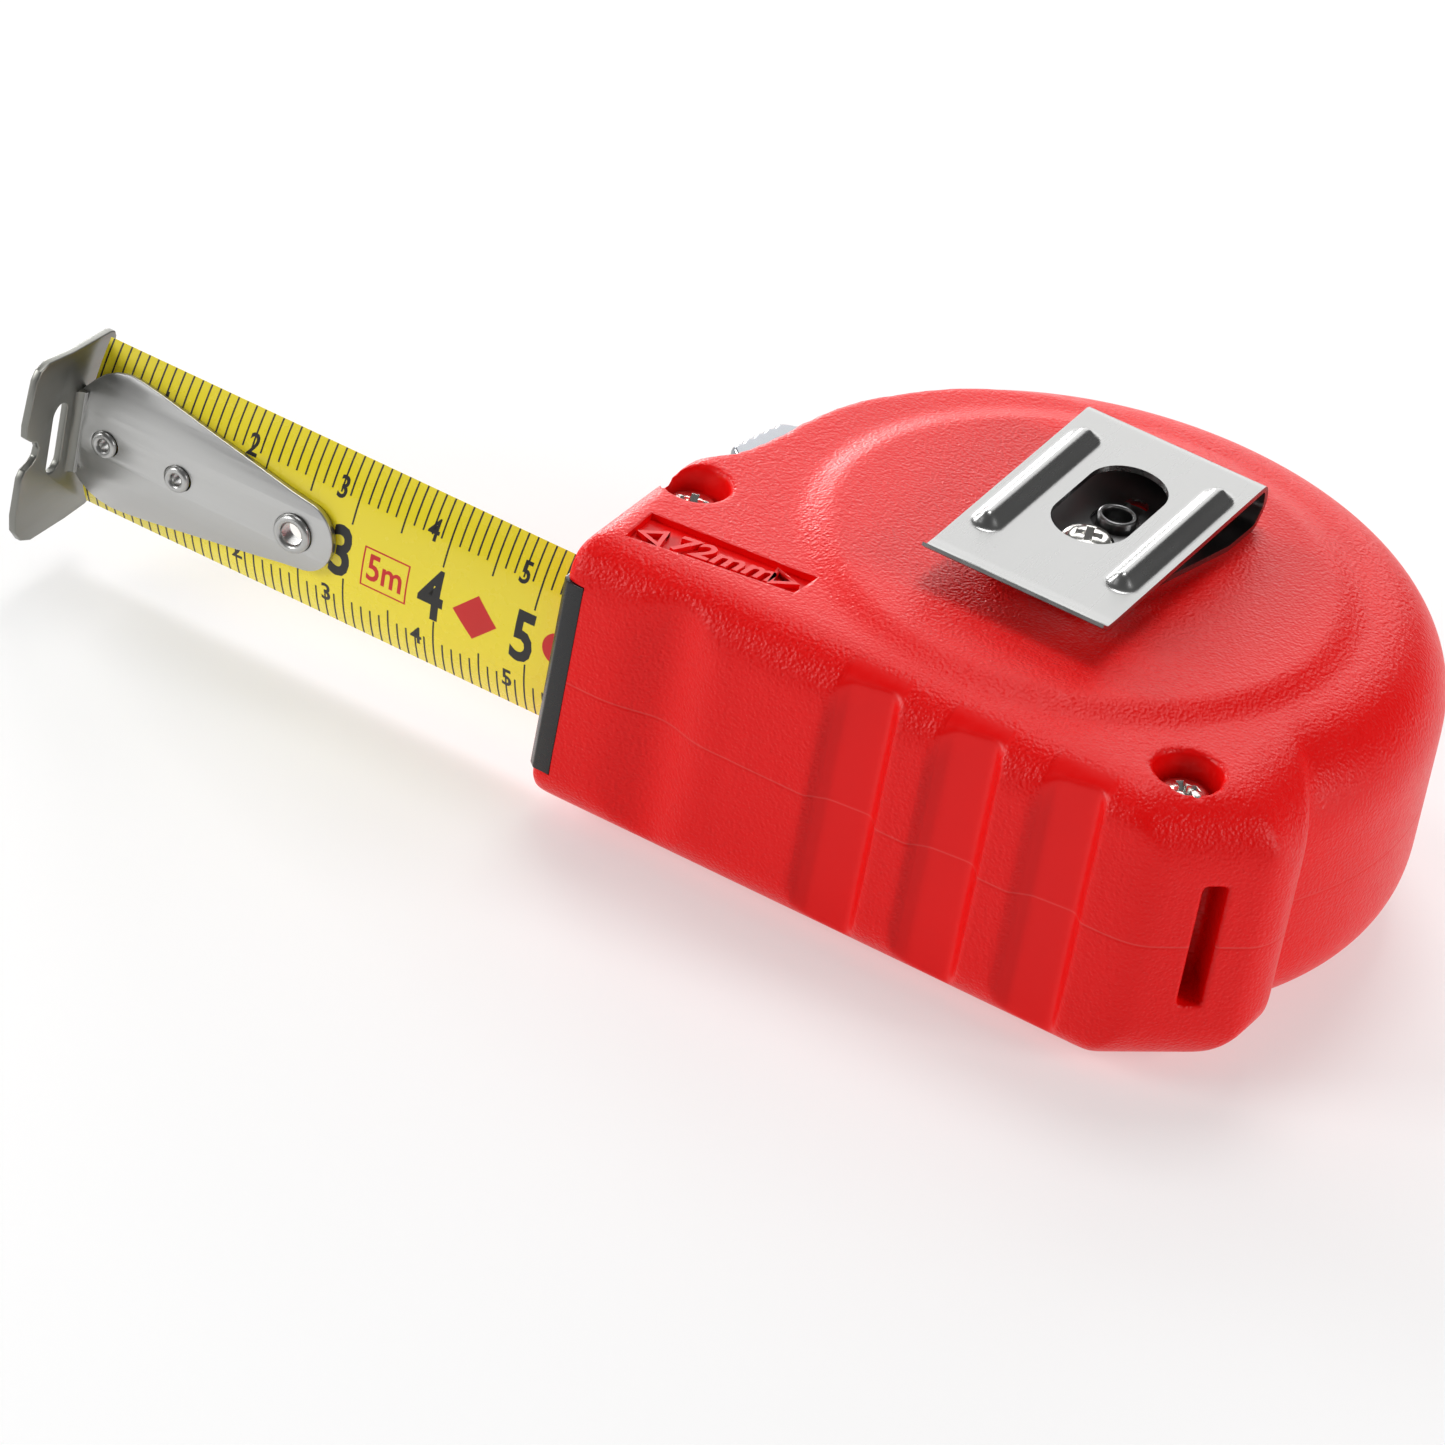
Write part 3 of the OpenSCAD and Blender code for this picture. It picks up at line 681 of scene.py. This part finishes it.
def lozenge(bm, x, y, r, low, ink):
    bmesh.ops.create_cone(bm, cap_ends=True, segments=4, radius1=r, radius2=r, depth=ink,
                          matrix=Matrix.Translation((x, y, low + ink / 2)))


addBlade(bladeSet)
addScale(bladeSet)
print("blade done")


hookSet = {
    "sheet": 0.8, "gap": 0.08, "slot": (15.8, 0.1, 7.6, 1.15), "fillet": 0.8, "neck": 4.4,
    "rivetHole": 0.93, "eyeletHole": 1.48, "float": 1.02,
    # half outline of the plate, from the tab
    "plate": [(-0.3, 3.9), (0.3, 4.6), (0.9, 5.4), (1.8, 6.3), (2.9, 6.9), (4.3, 7.2), (5.7, 7.1), (8, 6.75),
              (14, 5.6), (20, 4.5), (23.6, 3.8)],
    "plateEnd": (25.4, 3.5),
    # tab, (across, height over the base)
    "tab": [(23.6, 8.3), (24.2, 8), (24.5, 7.2), (24.9, 1), (25.5, -3.2), (25.1, -4.5), (24.2, -5.1),
            (19.4, -5.6), (18.1, -5.4), (17.4, -4.5), (16.9, -3.5), (16, -2.95), (15.1, -3.1), (14.6, -3.8),
            (14.3, -4.8), (13.5, -5.3), (9.4, -5.4), (7.6, -5),
            (6.1, -3.7), (5.4, -2), (5.2, 3.8), (5.3, 7.2), (5.6, 8), (6.2, 8.3)],
}


def addHook(s, b):
    tip, t = b["tip"], s["sheet"]
    cx, r = s["plateEnd"]
    half = s["plate"]
    pts = [(x, -y) for x, y in half] + arc(cx, 0, r, -78, 78, 16) + list(reversed(half))
    plate = finishMesh(prism([(tip + x, y) for x, y in pts], s["gap"], s["gap"] + t), "plate")
    cut = bmesh.new()
    for x, hole in [(x, s["rivetHole"]) for x in b["rivets"]] + [(b["eyelet"], s["eyeletHole"])]:
        prism([(tip + x + q, p) for p, q in obround(0, 0, 2 * hole + s["float"], hole, 20)], -2, 3, cut)
    combine(plate, finishMesh(cut, "holes"), "DIFFERENCE", "EXACT")
    bm = bmesh.new()
    bm.from_mesh(plate.data)
    bpy.data.objects.remove(plate)
    bmesh.ops.scale(bm, vec=(1 / mm,) * 3, verts=bm.verts)
    bevelSharp(bm, 0.14, 3)
    bendSheet(bm, b)
    plate = finishMesh(bm, "hook_plate")
    # tab, drawn as (across, height) and set upright across the tip
    tab = finishMesh(prism(s["tab"], 0, t), "tab")
    z, y, length, rr = s["slot"]
    slot = bmesh.new()
    prism([(z + q, y + p) for p, q in obround(0, 0, length, rr)], -2, 3, slot)
    combine(tab, finishMesh(slot, "slot"), "DIFFERENCE", "EXACT")
    bm = bmesh.new()
    bm.from_mesh(tab.data)
    bpy.data.objects.remove(tab)
    bmesh.ops.scale(bm, vec=(1 / mm,) * 3, verts=bm.verts)
    bevelSharp(bm, 0.16, 3)
    upright = Matrix(((0, 0, 1, tip - t), (0, 1, 0, base), (1, 0, 0, 0), (0, 0, 0, 1)))
    bmesh.ops.transform(bm, matrix=upright, verts=bm.verts)
    # bend between the tab and the plate
    f, y0 = s["fillet"], b["middleY"] - s["gap"] - t
    bend = [(tip - 0.3, y0 + 0.6), (tip - 0.3, y0 - f)] + arc(tip - 0.02 + f, y0 - f, f, 180, 90)
    bend += [(tip + f, y0 + 0.3)]
    prism(bend, midZ - s["neck"], midZ + s["neck"], bm)
    bmesh.ops.scale(bm, vec=(mm, mm, mm), verts=bm.verts)
    bm.from_mesh(plate.data)
    bpy.data.objects.remove(plate)
    bmesh.ops.scale(bm, vec=(1 / mm,) * 3, verts=bm.verts)
    tab = finishMesh(bm, "hook_steel", 32, 0.0001)
    tab.data.materials.append(hookSteel)
    tab.data.materials.append(tabShadeSteel)
    for face in tab.data.polygons:      # the tab and bend take a darker steel than the plate: painted shade
        x, y = face.center.x / mm, face.center.y / mm
        face.material_index = int(x < tip + 0.05 or (x < tip + 1 and y < y0 - 0.02))
    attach(tab, "hook")
    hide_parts("hook")


def hollowRivet(bm, x, bore, outer, b):
    top = hookSet["gap"] + hookSet["sheet"] + 0.02
    low = -b["thick"] - outer * outer / 2 / b["radius"] - 0.02
    c, r = (bore + outer) / 2, (outer - bore) / 2
    side = arc(c, top + 0.06, r, 180, 0, 12)
    side += [(outer, top), (bore + 0.35, top - 0.02), (bore + 0.35, low + 0.02), (outer, low)]
    side += arc(c, low - 0.04, r * 0.9, 0, -180, 12)
    spinProfile(side, axis=(0, -1, 0), centre=(b["tip"] + x, b["middleY"], midZ), steps=48, bm=bm)


def addRivets(b):
    for name, node, xs, bore, outer in (("hook_rivets_steel", "hook_rivets", b["rivets"], 0.55, 1.35),
                                        ("hook_eyelet_steel", "hook_eyelet", (b["eyelet"],), 1.1, 1.98)):
        bm = bmesh.new()
        for x in xs:
            hollowRivet(bm, x, bore, outer, b)
        obj = finishMesh(bm, name, 60)
        obj.data.materials.append(rivetSteel)
        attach(obj, "blade")
        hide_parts(node)


addHook(hookSet, bladeSet)
addRivets(bladeSet)
print("hook done")


clipSet = {
    "width": 19, "sheet": 0.6, "rib": (7.1, 1.6, 1.2, -8.6, 12.6), "hole": (0, 3.3, 14.4, 3.85),
    # middle of the strip as (y, z), with the rounding of each corner
    "path": [(-15.1, 34.75, 0), (-14.1, 34.05, 0.9), (-12.8, 33.98, 1.5), (16.6, 35.3, 1.0), (17.0, 33.2, 1.6),
             (15.6, 31.32, 0.9), (-9, 31.32, 0)],
    "footTaper": [(10.5, 9.5), (2.3, 8.0), (-5, 6.7)],
    "keyhole": (-0.2, 6.3, 2.45, 10.3, 1.15), "lip": (0.55, 2.5), "boss": (1.35, 0.54, 1.25, 3.6, 0.12, 1),
    "split": (15, 32.4, 2.6),
}


def roundedPath(points):      # (y, z, rounding) at each corner
    out = []
    for i, (y, z, r) in enumerate(points):
        p = Vector((y, z))
        if r == 0:
            out.append(p)
            continue
        a, c = Vector(points[i - 1][:2]), Vector(points[i + 1][:2])
        u, w = (a - p).normalized(), (c - p).normalized()
        angle = u.angle(w)
        d = r / tan(angle / 2)
        d = min(d, (a - p).length * 0.48, (c - p).length * 0.48)
        start, end = p + u * d, p + w * d
        for k in range(9):
            t = k / 8
            out.append(start * (1 - t) ** 2 + p * 2 * t * (1 - t) + end * t ** 2)
    return out


def addClip(s):
    path = roundedPath(s["path"])
    lengths = [0]
    for i in range(1, len(path)):
        lengths.append(lengths[-1] + (path[i] - path[i - 1]).length)
    total = lengths[-1]

    def at(d):
        i = 1
        while i < len(lengths) - 1 and lengths[i] < d:
            i += 1
        a, b = path[i - 1], path[i]
        t = (d - lengths[i - 1]) / max(1e-6, lengths[i] - lengths[i - 1])
        p, u = a.lerp(b, t), (b - a).normalized()
        # the normal is averaged between the ends of the segment
        u0 = (path[i] - path[max(0, i - 2)]).normalized() if i > 1 else u
        u1 = (path[min(len(path) - 1, i + 1)] - path[i - 1]).normalized()
        u = u0.lerp(u1, t).normalized()
        return p, Vector((-u.y, u.x))

    def leafPlace(y):     # distance along the strip of a y on the leaf
        return next(lengths[i - 1] + (y - path[i - 1].x) / (path[i].x - path[i - 1].x) * (lengths[i] - lengths[i - 1])
                    for i in range(1, len(path)) if path[i - 1].x <= y <= path[i].x)

    def footPlace(y):
        return total - (y + 9)

    w, t = s["width"] / 2, s["sheet"]
    bm = bmesh.new()
    bmesh.ops.create_grid(bm, x_segments=76, y_segments=210, size=1)
    bmesh.ops.scale(bm, vec=(w, total / 2, 1), verts=bm.verts)
    bmesh.ops.translate(bm, vec=(0, total / 2, -t / 2), verts=bm.verts)
    made = bmesh.ops.extrude_face_region(bm, geom=bm.faces[:])["geom"]
    bmesh.ops.translate(bm, vec=(0, 0, t), verts=[v for v in made if isinstance(v, bmesh.types.BMVert)])
    strip = finishMesh(bm, "clip_strip")
    # window in the leaf, tapered foot and its keyhole
    cut = bmesh.new()
    x, y, length, r = s["hole"]
    prism(obround(x, leafPlace(y), length, r, 20), -2, 2, cut)
    for side in (1, -1):
        edge = [(side * b, footPlace(a)) for a, b in s["footTaper"]]
        edge += [(side * 5, total + 0.05), (side * 5, total + 2), (side * 14, total + 2), (side * 14, footPlace(10.5))]
        prism(edge, -2, 2, cut)
    kx, ky, kr, ny, nr = s["keyhole"]
    keyhole = arc(kx, footPlace(ky), kr, -65, 245, 24)
    keyhole += [(kx - nr, footPlace(ny))] + arc(kx, footPlace(ny), nr, 180, 360, 10)
    cutters = finishMesh(cut, "clip_cuts")
    combine(strip, cutters, "DIFFERENCE", "EXACT")
    combine(strip, finishMesh(prism(keyhole, -2, 2), "keyhole"), "DIFFERENCE", "EXACT")
    bm = bmesh.new()
    bm.from_mesh(strip.data)
    bpy.data.objects.remove(strip)
    bmesh.ops.scale(bm, vec=(1 / mm,) * 3, verts=bm.verts)
    bevelSharp(bm, 0.1, 2)
    rx, rw, rh, ra, rb = s["rib"]
    thin, reach = s["lip"]
    a, b = leafPlace(ra), leafPlace(rb)
    under = -t / 2 + 0.02      # faces under the leaf and over the foot, which get painted shade
    inner = set(face.index for face in bm.faces if face.calc_center_median().z < under)
    for v in bm.verts:
        x, d, h = v.co
        near = min(max(d, a + rw), b - rw)
        away = sqrt((abs(x) - rx) ** 2 + (d - near) ** 2) / rw
        lift = rh * (0.5 + 0.5 * cos(pi * min(1, away))) ** 0.7
        h *= thin + (1 - thin) * smoothStep(0, reach, d)       # the lip is rolled thinner
        p, n = at(min(max(d, 0), total))
        v.co = (x, p.x + n.x * (h + lift), p.y + n.y * (h + lift))
    inside = bm.faces.layers.int.new("inside")
    bm.faces.ensure_lookup_table()
    for face in bm.faces:
        face[inside] = face.index in inner
    obj = finishMesh(bm, "belt_clip_nickel", 40)
    obj.data.materials.append(clipSteel)
    obj.data.materials.append(clipShadeSteel)
    layer = obj.data.attributes["inside"].data
    # the inside faces take the darker steel: painted shade
    for face in obj.data.polygons:
        face.material_index = layer[face.index].value
    y, z, lean = s["split"]      # the leaf's hinge point (y, z) and its lean
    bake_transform(obj)
    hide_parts("clip_foot", "clip_leaf")
    # hollow boss that shows through the keyhole, on a plate; both take the darker steel as painted shade
    bm = bmesh.new()
    bore, wall, height, plateR, plateH, plateShift = s["boss"]
    low, high, half = discTop - 0.3, discTop + height, wall / 2
    spinProfile([(bore, low), (bore, high)] + arc(bore + half, high, half, 180, 0, 6) + [(bore + wall, low)],
                centre=(kx, ky, 0), steps=48, bm=bm)
    spinProfile([(0, low), (plateR, low), (plateR, discTop + plateH), (0, discTop + plateH)],
                centre=(kx, ky + plateShift, 0), bm=bm)
    boss = finishMesh(bm, "clip_boss", 50)
    boss.data.materials.append(clipShadeSteel)
    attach(boss, "case")


addClip(clipSet)
print("clip done")


screwSet = {"headR": 2.6, "headH": 1.6, "wing": 0.72, "span": 3.3, "deep": 1.3, "shaft": 1.3, "length": 8,
            "crossTurn": 20, "clipSeat": 0.8}


def screwMesh(s):
    r, h = s["headR"], s["headH"]
    shaft, end = s["shaft"], -s["length"]
    side = [(0, h), (r * 0.35, h - 0.03), (r * 0.65, h - 0.16), (r * 0.86, h - 0.42), (r * 0.97, h - 0.8),
            (r, h - 1.15), (r, 0.08), (r - 0.08, 0), (shaft, 0), (shaft, end), (shaft - 0.5, end - 0.5), (0, end - 0.5)]
    head = finishMesh(spinProfile(side, steps=56), "head", 50)
    for turn in (0, 90):
        bm = bmesh.new()
        block(bm, (-s["span"] / 2, -s["wing"] / 2, h - s["deep"]), (s["span"] / 2, s["wing"] / 2, h + 1))
        for v in bm.verts:      # the wings narrow towards the bottom
            if v.co.z < h:
                v.co.x *= 0.5
        cross = Matrix.Rotation(radians(turn + s["crossTurn"]), 3, "Z")
        bmesh.ops.rotate(bm, cent=(0, 0, 0), matrix=cross, verts=bm.verts)
        combine(head, finishMesh(bm, "wing"), "DIFFERENCE", "EXACT")
    bm = bmesh.new()
    bm.from_mesh(head.data)
    bpy.data.objects.remove(head)
    bmesh.ops.scale(bm, vec=(1 / mm,) * 3, verts=bm.verts)
    bevelSharp(bm, 0.05, 1, 50)
    return bm


def addScrews(s, c):
    pockets = [(front + x, base + y, c["pocketFloor"]) for x, y in c["screws"]]
    clipPlace = (0, 0, discTop + s["clipSeat"])
    for name, node, places, slot in (("case_screws_steel", "case_screws", pockets, "screw_steel"),
                                     ("clip_screw_steel", "clip_screw", [clipPlace], "screw_steel")):
        whole = bmesh.new()
        for i, place in enumerate(places):
            bm = screwMesh(s)
            bmesh.ops.rotate(bm, cent=(0, 0, 0), matrix=Matrix.Rotation(0.5 * i, 3, "Z"), verts=bm.verts)
            bmesh.ops.translate(bm, vec=place, verts=bm.verts)
            mesh = bpy.data.meshes.new("one")
            bm.to_mesh(mesh)
            bm.free()
            whole.from_mesh(mesh)
            bpy.data.meshes.remove(mesh)
        obj = finishMesh(whole, name, 50, 0.0001)
        obj.data.materials.append(screwSteel)
        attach(obj, "case")
        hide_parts(node)


addScrews(screwSet, caseSet)


sliderSet = {"inR": 35.85, "outR": 38.3, "from": 163.5, "to": 177.5, "width": 17, "steps": 60,
             "ridges": 6, "ridge": 0.2, "endDrop": 0.9}


def addSlider(s):
    bm = bmesh.new()
    w = s["width"] / 2
    section = roundBar(s["inR"], s["outR"], midZ - w, midZ + w, 0.3, 0.75)
    a = radians(s["from"])
    verts = [bm.verts.new((r * cos(a), r * sin(a), z)) for r, z in section]
    face = bm.faces.new(verts)
    span = s["to"] - s["from"]
    bmesh.ops.spin(bm, geom=[face], cent=(0, 0, 0), axis=(0, 0, 1), dvec=(0, 0, 0), angle=radians(span),
                   steps=s["steps"], use_merge=False, use_duplicate=False)
    for v in bm.verts:
        r, angle = sqrt(v.co.x ** 2 + v.co.y ** 2), degrees(atan2(v.co.y, v.co.x)) % 360
        t = (angle - s["from"]) / span
        if r > s["inR"] + 0.5:
            end = smoothStep(0, 0.12, t) * (1 - smoothStep(0.88, 1, t))
            wave = s["ridge"] * (0.5 + 0.5 * cos(2 * pi * s["ridges"] * t))
            k = 1 + (wave * end - (1 - end) * s["endDrop"]) / r
            v.co.x *= k
            v.co.y *= k
    obj = finishMesh(bm, "lock_slider_chrome", 50)
    obj.data.materials.append(chrome)
    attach(obj, "lock")
    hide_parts("lock_slider")


addSlider(sliderSet)

for node, mat, slot in (("spindle_post", darkSteel, "post_steel"), ("washer_lower", whitePlastic, "washer_plastic"),
                        ("washer_upper", whitePlastic, "washer_plastic"), ("reel_drum", blackPlastic, "reel_plastic"),
                        ("reel_cover", blackPlastic, "reel_plastic"), ("blade_coil", bladeYellow, "blade_coating"),
                        ("blade_anchor", rivetSteel, "spring_steel"), ("power_spring", springSteel, "spring_steel"),
                        ("blade_lead", bladeYellow, "blade_coating"), ("lock_arm", blackPlastic, "lock_plastic"),
                        ("brake_shoe", rubber, "brake_rubber"), ("lock_detent", springSteel, "spring_steel")):
    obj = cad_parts[node]
    obj.data.materials.clear()
    obj.data.materials.append(mat)
print("pieces done")


lightSet = {"world": 0.15, "floorGrey": 0.55, "floorGlow": 0.42, "floorSize": 3000, "lamps": [
    # name, place, size, power, aim
    ("backLow", (-0.5, 1.0, 0.5), 1.0, 6.2, (0, 0, 0.02)),
    ("backHigh", (-0.2, 0.35, 1.15), 0.45, 4.5, (0, 0, 0.02)),
    ("leftBack", (-0.9, 0.9, 0.15), 0.35, 4.5, (0, 0, 0.03)),
    ("leftFront", (-0.75, -0.65, 0.4), 0.4, 5.0, (0, 0, 0.01)),
    ("left", (-1.0, 0.2, 0.36), 0.3, 4.0, (0, 0, 0.02)),
    ("right", (0.95, 0.1, 0.4), 0.4, 4.5, (0, 0, 0.01))]}


def addFloorAndLight(s):
    bm = bmesh.new()
    bmesh.ops.create_grid(bm, x_segments=1, y_segments=1, size=s["floorSize"])
    floor = finishMesh(bm, "floor")
    n = Nodes("floor_white", (s["floorGrey"],) * 3, 0.8)
    n.set("Emission Color", (1, 1, 1, 1))
    n.set("Emission Strength", s["floorGlow"])
    floor.data.materials.append(n.mat)
    for name, place, size, power, aim in s["lamps"]:
        data = bpy.data.lights.new(name, "AREA")
        data.shape, data.size, data.energy = "SQUARE", size, power
        lamp = bpy.data.objects.new(name, data)
        scene.collection.objects.link(lamp)
        lamp.location = place
        lamp.rotation_euler = (Vector(aim) - Vector(place)).to_track_quat("-Z", "Y").to_euler()
    world = bpy.data.worlds.new("studio")
    world.use_nodes = True
    sky = world.node_tree.nodes["Background"]
    sky.inputs["Color"].default_value = (1, 1, 1, 1)
    sky.inputs["Strength"].default_value = s["world"]
    scene.world = world


addFloorAndLight(lightSet)
